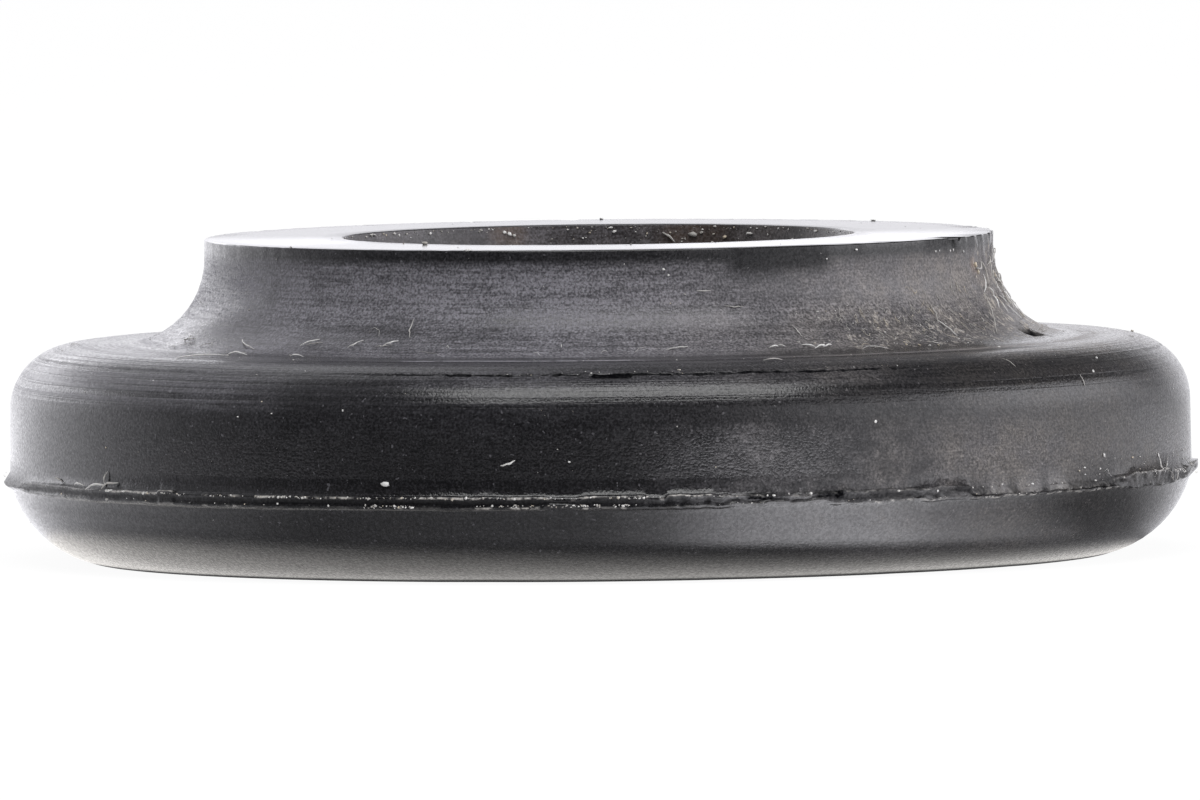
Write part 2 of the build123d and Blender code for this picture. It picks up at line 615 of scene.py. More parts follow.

# %% Paint the turning marks with their painted sheen, and the torn rubber
# The turning marks are real grooves in the relief; pale rings are painted on them as well, a
# painted sheen, strongest on the left where they catch the reflection.
turned = stretches(0.16, (-62, 18, 14, 0.84), (140, 60, 30, 0.25))
paint("turned", turned * between(down_to(4.39), down_to(3.55), 0.12))

on_lip = np.abs(np.abs(height - PARTING_HEIGHT) - FLASH_LAND / 2) < LIP / 2
lips = on_lip & (flash_share > 0.9)
upper_tears = stretches(0.40, (-24, 29, 2, 0.60), (8.8, 2.0, 0.3, 1.0), (15.2, 0.9, 0.4, 0.7),
                        (74, 13, 4, 0.9))
lower_tears = stretches(0.12, (-85, 20, 10, 0.3), (36, 5, 2, 0.5), (-44, 4, 3, 0.35),
                        (50, 11, 3, 0.6), (-39.4, 3.0, 0.4, 1), (-20.5, 2.1, 0.4, 1),
                        (-11.1, 0.6, 0.4, 1), (-7.2, 1.1, 0.4, 1), (-4.2, 0.3, 0.4, 1),
                        (-2.0, 0.7, 0.4, 1), (1.0, 1.1, 0.4, 1), (28.0, 0.8, 0.4, 1),
                        (-90.0, 6.0, 0.4, 1), (150.0, 9.0, 0.4, 1))
torn = lips * np.clip(0.55 + 0.6 * ring_noise(0.5, 43) + 0.7 * ring_noise(0.15, 44), 0, 1)
torn *= upper * upper_tears + lower * lower_tears
paint("torn", torn)

# %% Paint the grime and the painted shade in hollows, the crease and the root highlight
upper_face = between(bore_end, neck_start, 0.03)
# The groove between the flash's lips is painted dark, as painted shade in it.
groove_share = stretches(0.45, (40, 22, 8, -0.20), (76, 14, 6, -0.25))
grime = groove_share * flash_share * smooth(groove * 2)
dashes = smooth(0.5 + 1.6 * ring_noise(0.45, 47))
unbroken = np.ones(len(along))
# Painted shade in hollows: the nick, the slit, the dark pocket, the dark dashes along the flash's
# lips and the chip. The fleck and the smear are real dirt, and the flange top is painted darker
# in a band at the front.
GRIME_AND_SHADE = (
    # what, how it breaks up, amount, angle, half width, soft, from, to, soft edge
    ("nick", unbroken, 0.95, *nick, 0.03),
    ("slit", unbroken, 1.00, *slit, 0.03),
    ("dark pocket", unbroken, 0.36, 27.4, 4.2, 0.6, flash_start + 0.05, flash_end - 0.18, 0.04),
    ("upper lip", dashes, 0.70, 17.5, 5.5, 1.0, flash_start + 0.08, flash_start + 0.24, 0.04),
    ("worn lip", dashes, 0.45, 46, 12, 2.0, flash_start + 0.02, flash_start + 0.24, 0.04),
    ("right lip", dashes, 0.10, 70, 14, 4.0, flash_start, flash_end - 0.1, 0.04),
    ("left lip", unbroken, 0.35, -78, 14, 6.0, flash_start + 0.02, flash_start + 0.16, 0.04),
    ("flange top", unbroken, 0.35, 12, 40, 14, out_to(10.3), out_to(10.62), 0.12),
    ("fleck", unbroken, 0.70, -24.5, 1.0, 0.3, down_to(5.86), down_to(5.80), 0.03),
    ("by the chip", unbroken, 0.40, 60, 4, 2, neck_start + 0.03, neck_start + 0.16, 0.06),
    ("smear", unbroken, 0.35, 27, 6.5, 3, neck_start, down_to(6.1), 0.12),
)
for name, broken_up, amount, *where in GRIME_AND_SHADE:
    grime += amount * broken_up * patch(*where)
# The chip's wedge is painted dark, as painted shade in the chip.
grime += 0.22 * wedge * (along > neck_start + 0.01)
# The upper face is painted darker at the back, and a little at the front on the left: painted
# shade that dims its reflection there.
grime += upper_face * stretches(0, (180, 78, 30, 0.15), (-22, 26, 20, 0.09))
paint("grime", grime)
paint("polished", upper_face)
# The crease is painted dark in the material, as painted shade along the witness groove.
paint("crease", stretches(0.10, (5, 21, 12, 0.58), (-62, 14, 8, 0.08)))
# The neck's root line is a painted highlight: a pale line on the flange just past the root.
paint("root_line", stretches(0, (-9, 12, 4, 1.0), (60, 30, 20, 0.4)))

# %% Paint the soil and the rust
in_bore = along < bore_end - 0.02
soil = 0.9 * patch(82, 5, 12, down_to(6.1), down_to(4.70), 0.5)
soil *= smooth(0.6 + skin_noise(0.8, 0.5, 61))
soil += 0.40 * patch(53, 15, 10, down_to(5.0), down_to(4.45), 0.30)
paint("soil", soil)
rust = in_bore * stretches(0.10, (-159, 2, 4, 0.35), (157, 4, 8, 0.30))
rust += 0.9 * patch(70.8, 1.0, 0.8, down_to(6.0), down_to(5.72), 0.05)
paint("rust", rust)

# %% [markdown]
# ## Writing materials as sums
# A material is a tree of nodes, and one that is more than a colour soon has dozens. Wired by
# hand they can't be read. So one small class adds any node from its type, its settings and
# its inputs, and another wraps an output, so that ordinary sums such as 1 - mask add the
# Math nodes for themselves.

# %% Sockets that can be added, multiplied and mixed
class Value:
    def __init__(self, nodes, socket):
        self.nodes, self.socket = nodes, socket

    def math(self, operation, *values, clamp=False):
        return self.nodes.add("Math", {"operation": operation, "use_clamp": clamp},
                              dict(enumerate(values)))

    def __add__(self, other):
        return self.math("ADD", self, other)

    def __sub__(self, other):
        return self.math("SUBTRACT", self, other)

    def __rsub__(self, other):
        return self.math("SUBTRACT", other, self)

    def __mul__(self, other):
        return self.math("MULTIPLY", self, other)

    def __truediv__(self, other):
        return self.math("DIVIDE", self, other)

    __radd__ = __add__
    __rmul__ = __mul__

    def clamped(self):
        return self.math("ADD", self, 0.0, clamp=True)

    def step(self, start, end):
        """0 below the start, 1 above the end and a smooth rise between them."""
        return self.nodes.add("MapRange", {"interpolation_type": "SMOOTHSTEP"},
                              {"Value": self, "From Min": start, "From Max": end})


class Nodes:
    def __init__(self, owner):
        owner.use_nodes = True
        self.tree = owner.node_tree
        self.tree.nodes.clear()

    def add(self, kind, settings, inputs, output=0):
        """Adds a node of a type: first its settings, then the values or links it takes."""
        node = self.tree.nodes.new("ShaderNode" + kind)
        for name, setting in settings.items():
            if name == "stops":
                self.set_stops(node.color_ramp, setting)
            else:
                setattr(node, name, setting)
        for name, value in inputs.items():
            if isinstance(value, Value):
                self.tree.links.new(value.socket, node.inputs[name])
            else:
                node.inputs[name].default_value = value
        return Value(self, node.outputs[output]) if node.outputs else node

    def set_stops(self, ramp, stops):
        for position, shade in stops[2:]:
            ramp.elements.new(position)
        for element, (position, shade) in zip(ramp.elements, stops):
            element.position = position
            element.color = (shade, shade, shade, 1)

    def mix(self, share, first, second):
        """Colours, mixed by a share of the second."""
        return self.add("Mix", {"data_type": "RGBA"}, {0: share, 6: first, 7: second}, 2)

    def noise(self, where, cells_per_mm, detail, roughness=0.5):
        """Noise from 0 to 1, mostly near a half."""
        return self.add("TexNoise", {}, {"Vector": where, "Scale": cells_per_mm,
                                         "Detail": detail, "Roughness": roughness})

    def painted(self, name):
        return self.add("Attribute", {"attribute_name": name}, {}, 2)

    def vector(self, operation, inputs, output=0):
        return self.add("VectorMath", {"operation": operation}, inputs, output)

    def place_in_mm(self):
        place = self.add("TexCoord", {}, {}, "Object")
        return self.vector("SCALE", {0: place, "Scale": 1 / MM})

    def split(self, vector):
        """The three parts of a vector."""
        node = self.add("SeparateXYZ", {}, {0: vector}).socket.node
        return [Value(self, socket) for socket in node.outputs]

    def ray(self, kind):
        """1 for rays of a kind, such as those from the camera."""
        return self.add("LightPath", {}, {}, f"Is {kind} Ray")

    def ramp(self, stops, x, y):
        """Shades that change with the bearing of a direction or a place."""
        bearing = x.math("ARCTAN2", x, 0.0 - y) / math.tau + 0.5
        return self.add("ValToRGB", {"stops": stops}, {0: bearing})


# %% [markdown]
# ## The rubber
# Black rubber is nearly all reflection: its own colour is about as dark as soot, so what one
# sees is how smooth it is and what lies on it. Three finishes are mixed for that. Bare rubber
# is smooth, with a grain as fine as the mould's sandblast and rings from turning the mould.
# Matt dirt lies over it: a pale film of dust with streaks that run round the washer, and
# tan strands of soil; the same pale film also carries painted light: a highlight at the neck's
# root, a sheen on the turning rings and a reflection in the light patch underneath. And fine
# pits, creases, the slit, the nick, the chip and the flash's groove are painted dead black as
# the shade in these hollows, together with some real grime.
# Positions come from Object coordinates in millimetres, and the streaks also use the
# distance along the skin. Where each kind of dirt and of painted light lies was painted on
# the points above.

# %% Rubber finish
RUBBER_BLACK = (0.0055, 0.0054, 0.0062, 1)
DUST_COOL = (0.325, 0.318, 0.350, 1)
DUST_WARM = (0.362, 0.328, 0.298, 1)
TORN_PALE = (0.780, 0.750, 0.710, 1)
# Dead black, for grime and for painted shade in hollows.
GRIME_AND_SHADE_DARK = (0.004, 0.004, 0.005, 1)
STRAND_TAN = (0.700, 0.640, 0.550, 1)
RUST_BROWN = (0.330, 0.190, 0.100, 1)
ROOT_HIGHLIGHT = float(out_to(9.95))
RUBBER_IOR, DIRT_IOR = 1.56, 1.30
# Pits and hollows are turned dead black as painted shade, and grime as dirt.
PIT_SHARE, GRIME_AND_SHADE_SHARE = 0.29, 0.85     # how much of the skin they turn dead black


def make_rubber():
    material = bpy.data.materials.new("rubber")
    nodes = Nodes(material)
    place = nodes.place_in_mm()
    x, y, z = nodes.split(place)
    down = nodes.painted("along")

    def stretched(across, up, detail, rough):
        """Noise in cells per mm across and up, the latter measured by height."""
        where = nodes.add("CombineXYZ", {}, {0: x * across, 1: y * across, 2: z * up})
        return nodes.noise(where, 1.0, detail, rough)

    def streaks(along_scale, round_scale, detail):
        """Noise drawn out round the washer, and measured along the skin in the other way."""
        where = nodes.add("CombineXYZ", {}, {0: x * round_scale, 1: y * round_scale,
                                             2: down * along_scale})
        return nodes.noise(where, 1.0, detail, 0.6)

    grain = nodes.noise(place, 21.0, 1.0, 0.6).step(0.26, 0.74)
    blotch = nodes.noise(place, 0.75, 6.0, 0.72).step(0.34, 0.66)
    speck = nodes.noise(place, 11.0, 1.0, 0.5)
    crumbs = nodes.noise(place, 9.0, 1.0, 0.5).step(0.36, 0.56)
    brushing = streaks(22.0, 3.0, 2.0).step(0.30, 0.70)
    warm_side = x.step(-2.0, 9.0)
    lines = streaks(12.0, 0.4, 2.0).step(0.30, 0.70)
    lines = lines + 0.8 * warm_side * (0.5 - lines)
    pits = nodes.noise(place, 17.0, 2.0, 0.6).step(0.34, 0.66)
    clots = nodes.noise(place, 2.6, 3.0, 0.7).step(0.38, 0.62)
    rings = streaks(12.0, 0.05, 3.0).step(0.42, 0.58)
    strands = stretched(5.5, 2.2, 3.0, 0.7).step(0.54, 0.63)
    wander = stretched(0.8, 0.0, 4.0, 0.7) - 0.5
    broken = stretched(2.0, 0.0, 3.0, 0.7).step(0.36, 0.50)

    def line_at(where, half_width, wandering):
        """A thin line round the washer at a distance along the skin, a little unsteady."""
        off = down.math("ABSOLUTE", down - where - wandering * wander)
        return (1 - off.step(half_width * 0.4, half_width * 1.4)) * broken

    mottle = nodes.painted("mottle")
    turned = nodes.painted("turned")
    rough_skin = 1 - nodes.painted("polished")
    film_and_highlights = nodes.painted("dust") * (1 + mottle * (1.6 * blotch - 0.8))
    film_and_highlights = film_and_highlights * (0.52 + 0.36 * brushing + 0.60 * lines) * (0.50 + 1.00 * grain)
    film_and_highlights = film_and_highlights * (1 - 0.9 * mottle.step(0.6, 1.0) * (1 - clots))
    bare = 0.045 * grain * grain + 0.030 * brushing * grain
    # Pale rings on the turning marks are a painted sheen.
    film_and_highlights = film_and_highlights + rough_skin * bare + 0.22 * turned * rings
    film_and_highlights = film_and_highlights + 0.30 * rough_skin * speck.step(0.70, 0.77)
    # A painted highlight: a pale line along the neck's root.
    film_and_highlights = film_and_highlights + 0.85 * nodes.painted("root_line") * line_at(ROOT_HIGHLIGHT, 0.16, 0.20)
    film_and_highlights = film_and_highlights.clamped()
    torn = nodes.painted("torn") * crumbs
    ragged = stretched(3.2, 1.0, 3.0, 0.7).step(0.38, 0.62)
    # The crease along the witness line is painted dark as shade, and joins the grime.
    crease = 1.3 * nodes.painted("crease") * line_at(witness, 0.020 + 0.042 * ragged, 0.14)
    grime = (nodes.painted("grime") + crease).clamped()
    soil = nodes.painted("soil") * strands
    rust = nodes.painted("rust") * (0.3 + 0.7 * blotch)

    dust_colour = nodes.mix(warm_side * (0.4 + 0.5 * blotch), DUST_COOL, DUST_WARM)
    colour = nodes.mix(rust * 0.7, RUBBER_BLACK, RUST_BROWN)
    # Grime and painted shade darken the bare rubber's colour.
    colour = nodes.mix(grime, colour, GRIME_AND_SHADE_DARK)
    colour = nodes.mix(torn, colour, TORN_PALE)
    roughness = 0.08 + 0.10 * film_and_highlights + rough_skin * (0.03 + 0.07 * grain) + 0.3 * torn
    relief = rough_skin * (0.0016 * grain + 0.0006 * brushing) + 0.0110 * turned * rings
    relief = relief + 0.002 * film_and_highlights + 0.010 * soil - 0.010 * crease
    bump = nodes.add("Bump", {}, {"Distance": MM, "Height": relief})
    bare_rubber = nodes.add("BsdfPrincipled", {}, {
        "Base Color": colour, "Roughness": (roughness + 0.4 * grime).clamped(),
        "IOR": RUBBER_IOR, "Normal": bump})
    dirt_colour = nodes.mix(soil, nodes.mix(rust * 0.6, dust_colour, RUST_BROWN), STRAND_TAN)
    matt_dirt = nodes.add("BsdfPrincipled", {}, {
        "Base Color": dirt_colour, "Roughness": 0.85, "IOR": DIRT_IOR, "Normal": bump})
    covered = ((film_and_highlights + soil) * (1 - grime) * (1 - torn)).clamped()
    dusty_rubber = nodes.add("MixShader", {}, {0: covered, 1: bare_rubber, 2: matt_dirt})
    # A dead black finish: painted shade in pits, creases and hollows, and grime.
    painted_shade = nodes.add("BsdfDiffuse", {}, {"Color": GRIME_AND_SHADE_DARK, "Normal": bump})
    painted_shade_share = (PIT_SHARE * rough_skin * (1 - pits) + GRIME_AND_SHADE_SHARE * grime).clamped()
    shader = nodes.add("MixShader", {}, {0: painted_shade_share, 1: dusty_rubber, 2: painted_shade})
    nodes.add("OutputMaterial", {}, {"Surface": shader})
    return material


rubber = make_rubber()
body.data.materials.clear()
body.data.materials.append(rubber)
print("rubber has", len(rubber.node_tree.nodes), "nodes")

# %% [markdown]
# ## One straight fibre
# Lint is short lengths of textile fibre, a few hundredths of a millimetre thick at most. One
# straight fibre is modelled, five-sided and pointed at both ends; each bit of lint is a copy
# of it that is laid along a path on the skin, with its own mesh.

# %% Model the fibre
FIBRE_CUTS = 12
FIBRE_TIP = 0.03      # how far the points stand out past the fibre's ends, at unit length

bpy.ops.object.select_all(action="DESELECT")
bpy.ops.mesh.primitive_cylinder_add(vertices=5, radius=1, depth=1, location=(0, 0, 0.5))
fibre = bpy.context.object
ends = [[fibre.data.vertices[i].co.z for i in edge.vertices] for edge in fibre.data.edges]
edit_only(fibre.data, "EDGE", [abs(b - a) > 0.5 for a, b in ends])
bpy.ops.mesh.subdivide(number_cuts=FIBRE_CUTS)
leave_edit()
edit_only(fibre.data, "FACE", [abs(face.normal.z) > 0.9 for face in fibre.data.polygons])
bpy.ops.mesh.extrude_region_shrink_fatten(TRANSFORM_OT_shrink_fatten={"value": FIBRE_TIP})
bpy.ops.mesh.merge(type="COLLAPSE")
leave_edit()
print("fibre faces:", len(fibre.data.polygons))

# %% Lay copies of the fibre on the skin
POINT_LENGTH = 1.2    # of a laid fibre's tip, against its thickness


def on_skin(where_angle, where_along, lift):
    """Points in millimetres, and the skin's normals there, both in the washer's frame."""
    normal = np.column_stack([on_section(outward[:, 0], where_along),
                              on_section(outward[:, 1], where_along)])
    out = on_section(section[:, 0], where_along) + lift * normal[:, 0]
    up = on_section(section[:, 1], where_along) + lift * normal[:, 1]
    turn = np.radians(where_angle)
    sine, cosine = np.sin(turn), np.cos(turn)
    placed = np.column_stack([out * sine, -out * cosine, up])
    return placed, np.column_stack([normal[:, 0] * sine, -normal[:, 0] * cosine, normal[:, 1]])


def link(name, data):
    """A new object in the scene, to hold a mesh, a lamp or a lens."""
    linked = bpy.data.objects.new(name, data)
    bpy.context.scene.collection.objects.link(linked)
    return linked


def copy_with_points(model, name, points, tint):
    """A copy of a bit of dirt, with its points moved to these, in millimetres."""
    copied = model.data.copy()
    copied.vertices.foreach_set("co", (points * MM).ravel())
    write_value(copied, "tint", np.full(len(points), tint))
    return link(name, copied)


def lay_fibre(start, end, thickness, bow, arch, tint, seed):
    """From and to an angle and a distance along the skin, bowed sideways and arched off it."""
    share = np.linspace(0, 1, FIBRE_CUTS + 2)
    wriggle = np.random.default_rng(seed).uniform(-1, 1, (2, 4))
    swing = np.sin(math.pi * share)
    waves = sum(wriggle[:, [k]] * np.sin((k + 2) * math.pi * share) / (k + 2) for k in range(4))
    where_angle = start[0] + (end[0] - start[0]) * share + waves[0] * swing * abs(bow) * 3
    where_along = start[1] + (end[1] - start[1]) * share + (bow + waves[1] * abs(bow)) * swing
    line, normal = on_skin(where_angle, where_along, thickness / 2 + arch * swing)
    direction = np.gradient(line, axis=0)
    direction /= np.linalg.norm(direction, axis=1)[:, None]
    side = np.cross(normal, direction)
    side /= np.linalg.norm(side, axis=1)[:, None]
    above = np.cross(direction, side)
    swell = thickness * (0.4 + 0.6 * swing) * (1 + 0.35 * waves[1])
    straight = np.array([vertex.co for vertex in fibre.data.vertices])
    nearest = np.clip((straight[:, 2] + 0.5) * (len(share) - 1), 0, len(share) - 1)
    nearest = nearest.round().astype(int)
    tip = np.clip(np.abs(straight[:, 2]) - 0.5, 0, None) * np.sign(straight[:, 2])
    stretch = swell[nearest][:, None]
    laid = (line[nearest] + side[nearest] * straight[:, [0]] * stretch / 2
            + above[nearest] * straight[:, [1]] * stretch / 2
            + direction[nearest] * tip[:, None] / FIBRE_TIP * stretch * POINT_LENGTH)
    return copy_with_points(fibre, "lint", laid, tint)


# %% [markdown]
# ## Where the lint lies
# The bits that one notices are listed one by one: each is a start and an end, as an angle and a
# height. The neck's root collects most of them, and the torn flash holds others. Nearly two
# hundred more come from a seeded draw: a tuft down the right of the neck, shreds in the torn
# flash, cobwebs round the root of the neck, and a fine tangle in it on the right.

# %% Place the lint that one notices
LINT_BY_HAND = (
    # start angle, height, end angle, height, thickness, bow, arch, tint
    (-51.6, 4.365, -49.9, 4.385, 0.030, 0.02, 0.04, 0.80),
    (-50.2, 4.383, -48.3, 4.402, 0.040, 0.03, 0.06, 0.95),
    (-54.5, 4.66, -49.4, 4.50, 0.030, 0.05, 0.03, 0.80),
    (-40.6, 4.40, -38.6, 4.40, 0.030, 0.03, 0.04, 0.90),
    (-42.0, 4.58, -39.9, 4.71, 0.034, 0.04, 0.05, 0.95),
    (-41.2, 4.60, -39.0, 4.66, 0.022, 0.04, 0.04, 0.55),
    (-34.2, 4.58, -32.7, 4.71, 0.028, 0.04, 0.03, 0.80),
    (-29.1, 4.62, -27.4, 4.71, 0.034, 0.04, 0.04, 0.95),
    (-30.2, 4.60, -28.0, 4.64, 0.018, 0.05, 0.03, 0.60),
    (-26.5, 5.13, -26.0, 4.78, 0.022, 0.08, 0.05, 0.60),
    (8.4, 4.53, 11.3, 4.58, 0.026, 0.03, 0.03, 0.70),
    (26.6, 4.55, 28.2, 4.50, 0.036, 0.02, 0.04, 0.95),
    (27.9, 4.48, 29.7, 4.51, 0.044, 0.02, 0.05, 1.00),
    (29.3, 4.50, 30.8, 4.54, 0.036, 0.03, 0.04, 0.95),
    (21.9, 4.52, 23.2, 4.54, 0.038, 0.03, 0.04, 0.85),
    (23.0, 4.55, 24.2, 4.54, 0.026, 0.03, 0.04, 0.70),
    (17.4, 4.36, 19.5, 4.36, 0.022, 0.04, 0.04, 0.60),
    (14.0, 5.66, 16.0, 5.66, 0.022, 0.01, 0.01, 0.60),
    (17.8, 5.35, 20.5, 5.33, 0.020, 0.02, 0.01, 0.50),
    (27.0, 4.94, 27.6, 4.71, 0.024, 0.05, 0.03, 0.60),
    (53.6, 5.23, 52.6, 4.85, 0.018, 0.05, 0.04, 0.60),
    (52.9, 4.92, 53.4, 4.58, 0.022, 0.04, 0.04, 0.80),
    (71.8, 5.33, 63.4, 4.58, 0.022, 0.06, 0.05, 0.50),
    (-9.5, 2.40, -8.2, 2.50, 0.040, 0.02, 0.03, 0.80),
    (69.3, 2.08, 69.6, 1.76, 0.034, 0.04, 0.05, 0.75),
    (-58.3, 1.74, -55.8, 1.84, 0.042, 0.02, 0.08, 0.80),
    (-55.9, 1.83, -55.4, 2.12, 0.036, 0.01, 0.06, 0.60),
    (-55.8, 1.77, -53.6, 1.90, 0.040, 0.02, 0.10, 0.55),
    (-61.2, 1.79, -59.4, 1.80, 0.036, 0.02, 0.07, 0.75),
    (-66.0, 1.92, -64.4, 1.84, 0.034, 0.02, 0.06, 0.45),
    (-66.9, 4.58, -68.6, 4.66, 0.028, 0.03, 0.05, 0.95),
    (-68.2, 4.55, -66.6, 4.62, 0.024, 0.03, 0.05, 0.75),
    (-69.2, 4.58, -67.2, 4.58, 0.022, 0.03, 0.04, 0.60),
    (54.9, 3.62, 55.0, 3.84, 0.018, 0.01, 0.01, 0.60),
    (45.6, 4.24, 46.2, 4.08, 0.014, 0.03, 0.02, 0.40),
    (165.2, 6.32, 162.4, 6.13, 0.044, 0.02, 0.02, 0.60),
    (-116.0, 6.44, -119.5, 6.40, 0.030, 0.02, 0.02, 0.60),
)
lint = []
for number, (a0, h0, a1, h1, thickness, bow, arch, tint) in enumerate(LINT_BY_HAND):
    lint.append(lay_fibre((a0, to_skin(a0, h0)), (a1, to_skin(a0, h1)), thickness, bow, arch,
                          tint, 100 + number))
print("bits of lint placed by hand:", len(lint))

# %% Scatter the rest of the lint
draw = np.random.default_rng(52)


def scatter_fibre(start, base, far_round, far_along, thickness, bow, arch, tint, seed):
    """A fibre whose end is drawn near its start's angle and a base distance along the skin."""
    end = (start[0] + draw.uniform(*far_round), base + draw.uniform(*far_along))
    lint.append(lay_fibre(start, end, draw.uniform(*thickness), draw.uniform(-bow, bow),
                          draw.uniform(*arch), draw.uniform(*tint), seed))


STRAW_COUNT, TEAR_COUNT, COBWEB_COUNT, TANGLE_COUNT = 40, 16, 46, 90
TORN_AT = (60, 65, 70, 74, 78, 120, -120, 175)
COBWEB_AT = (4.45, 4.5, 4.6, 4.8, 5.2, 4.37)
for number in range(STRAW_COUNT):
    top = float(down_to(draw.uniform(4.9, 6.25)))
    at = 88 - 14 * draw.uniform() ** 1.6
    scatter_fibre((at, top), top, (-3, 1.5), (0.1, 0.5), (0.016, 0.040), 0.1, (0.01, 0.05),
                  (0.25, 1.0), 200 + number)
for number in range(TEAR_COUNT):
    at = draw.choice(TORN_AT) + draw.uniform(-5, 5)
    start = (at, flash_start + draw.uniform(-0.05, 0.2))
    scatter_fibre(start, flash_start, (-1.5, 1.5), (-0.35, 0.4), (0.008, 0.018), 0.1,
                  (0.02, 0.09), (0.3, 1.0), 300 + number)
for number in range(COBWEB_COUNT):
    start = (draw.uniform(-180, 180), float(down_to(draw.choice(COBWEB_AT))))
    scatter_fibre(start, start[1], (-4, 4), (-0.25, 0.15), (0.007, 0.014), 0.12, (0.0, 0.03),
                  (0.5, 0.9), 400 + number)
for number in range(TANGLE_COUNT):
    at = draw.uniform(34, 66)
    start = (at, float(down_to(draw.uniform(4.48, 5.2 + 0.4 * (at > 50)))))
    scatter_fibre(start, start[1], (-1.4, 1.4), (-0.16, 0.16), (0.006, 0.012), 0.2,
                  (0.0, 0.02), (0.2, 0.6), 600 + number)


def join(pieces, name):
    bpy.ops.object.select_all(action="DESELECT")
    for piece in pieces:
        piece.select_set(True)
    bpy.context.view_layer.objects.active = pieces[0]
    bpy.ops.object.join()
    joined = bpy.context.object
    joined.name = joined.data.name = name
    return joined


bits = len(lint)
lint_fibres = join(lint, "lint_fibres")
bpy.data.objects.remove(fibre)
print(bits, "bits of lint,", len(lint_fibres.data.polygons), "faces")

# %% [markdown]
# ## Dust grains
# Grains of dust and crumbs of rubber are tiny stones of any shape. One is an icosphere of
# twenty faces with its points pulled about; the others are copies, each turned, squashed and
# partly sunk in the skin. Those that one notices are listed one by one, and the rest are drawn
# where dirt gathers: in the neck's root, along the flash, on the bore's wall.

# %% Model one grain
bpy.ops.object.select_all(action="DESELECT")
bpy.ops.mesh.primitive_ico_sphere_add(subdivisions=1, radius=1)
grain = bpy.context.object
edit_all()
bpy.ops.transform.vertex_random(offset=0.28, uniform=0.7, seed=3)
leave_edit()
stone = np.array([vertex.co for vertex in grain.data.vertices])
print("points in a grain:", len(stone))

# %% Place the grains that one notices
def lay_grain(at, where_along, size, long, tint):
    """A grain of a size in millimetres, long times as long round the washer as it is tall."""
    place, normal = on_skin(np.array([at]), np.array([where_along]), size * 0.15)
    out = Vector(normal[0])
    spin = Matrix.Rotation(draw.uniform(0, math.tau), 3, "Z")
    upright = out.to_track_quat("Z", "Y").to_matrix()
    squash = np.diag([draw.uniform(0.7, 1.1), draw.uniform(0.7, 1.1), draw.uniform(0.4, 0.7)])
    laid = stone @ (np.array(upright) @ squash @ np.array(spin)).T * size / 2
    turn = math.radians(at)
    round_way = np.array([math.cos(turn), math.sin(turn), 0])
    laid += np.outer(laid @ round_way, round_way) * (long - 1)
    return copy_with_points(grain, "grain", laid + place, tint)


GRAINS_BY_HAND = (
    # angle, height, size, how long, tint
    (-20.9, 2.02, 0.13, 1.4, 1.0), (60.6, 4.13, 0.07, 1.0, 0.9), (57.7, 3.89, 0.06, 1.0, 0.9),
    (-3.0, 2.47, 0.05, 1.2, 0.9), (27.1, 3.14, 0.07, 1.0, 1.0), (9.3, 6.10, 0.06, 1.6, 0.9),
    (10.0, 5.98, 0.05, 1.4, 0.8), (34.8, 6.22, 0.05, 1.2, 0.8), (40.2, 6.38, 0.06, 1.2, 0.9),
    (53.3, 4.38, 0.08, 1.0, 0.8), (-25.4, 3.48, 0.05, 1.0, 0.8), (-37.1, 3.32, 0.05, 1.0, 0.8),
    (-33.2, 3.40, 0.04, 1.0, 0.8), (57.2, 2.22, 0.08, 1.0, 1.0), (69.3, 2.10, 0.08, 1.0, 1.0),
    (71.3, 5.90, 0.16, 0.8, 0.0), (72.0, 5.75, 0.12, 0.7, 0.05), (42.1, 4.49, 0.06, 1.0, 0.2),
    (44.0, 4.47, 0.07, 1.2, 0.2), (47.1, 4.45, 0.06, 1.0, 0.25), (33.5, 1.72, 0.05, 1.4, 0.9),
    (16.4, 1.74, 0.06, 1.6, 0.9), (20.1, 1.76, 0.05, 1.4, 0.8), (41.5, 1.78, 0.05, 1.0, 1.0),
    (45.3, 1.76, 0.06, 1.0, 1.0), (53.8, 2.00, 0.06, 1.4, 0.9), (53.9, 1.86, 0.05, 1.0, 1.0),
    (57.9, 6.25, 0.06, 1.2, 0.9), (59.0, 6.26, 0.05, 1.0, 0.9), (63.2, 6.25, 0.06, 1.0, 1.0),
    (62.2, 6.24, 0.05, 1.0, 0.8), (66.8, 6.20, 0.05, 1.0, 0.9), (70.6, 5.66, 0.07, 1.0, 0.3),
    (-117.1, 6.44, 0.07, 1.2, 0.8), (-128.4, 6.40, 0.06, 1.0, 0.9),
    (-138.5, 6.40, 0.08, 1.0, 1.0), (-158.2, 6.37, 0.07, 1.5, 0.9),
    (-159.4, 6.33, 0.11, 1.0, 1.0), (-160.6, 6.30, 0.08, 1.5, 0.6), (176.4, 6.35, 0.08, 1.2, 0.8),
    (177.2, 6.43, 0.06, 2.0, 0.9), (158.0, 6.29, 0.12, 2.2, 0.5), (156.0, 6.33, 0.07, 1.6, 0.4),
    (150.1, 6.24, 0.09, 1.2, 0.1), (143.4, 6.32, 0.10, 1.6, 0.7), (121.3, 6.41, 0.08, 1.4, 0.9),
    (99.0, 4.335, 0.09, 1.8, 0.3),
)
grains = [lay_grain(at, to_skin(at, tall), size, long, tint)
          for at, tall, size, long, tint in GRAINS_BY_HAND]
TOP_CRUMBS = (
    # angle, radius, size, how long, tint
    (-41.0, 5.32, 0.13, 1.2, 0.35), (-19.2, 7.95, 0.08, 2.6, 0.8), (-50.9, 7.95, 0.08, 1.0, 0.6),
    (179.5, 7.95, 0.08, 1.4, 0.9), (134.8, 7.95, 0.06, 2.4, 0.9), (7.0, 5.3, 0.05, 1.2, 0.4),
)
grains += [lay_grain(at, bore_end + radius - BORE_RADIUS, size, long, tint)
           for at, radius, size, long, tint in TOP_CRUMBS]
print("grains placed by hand:", len(grains))

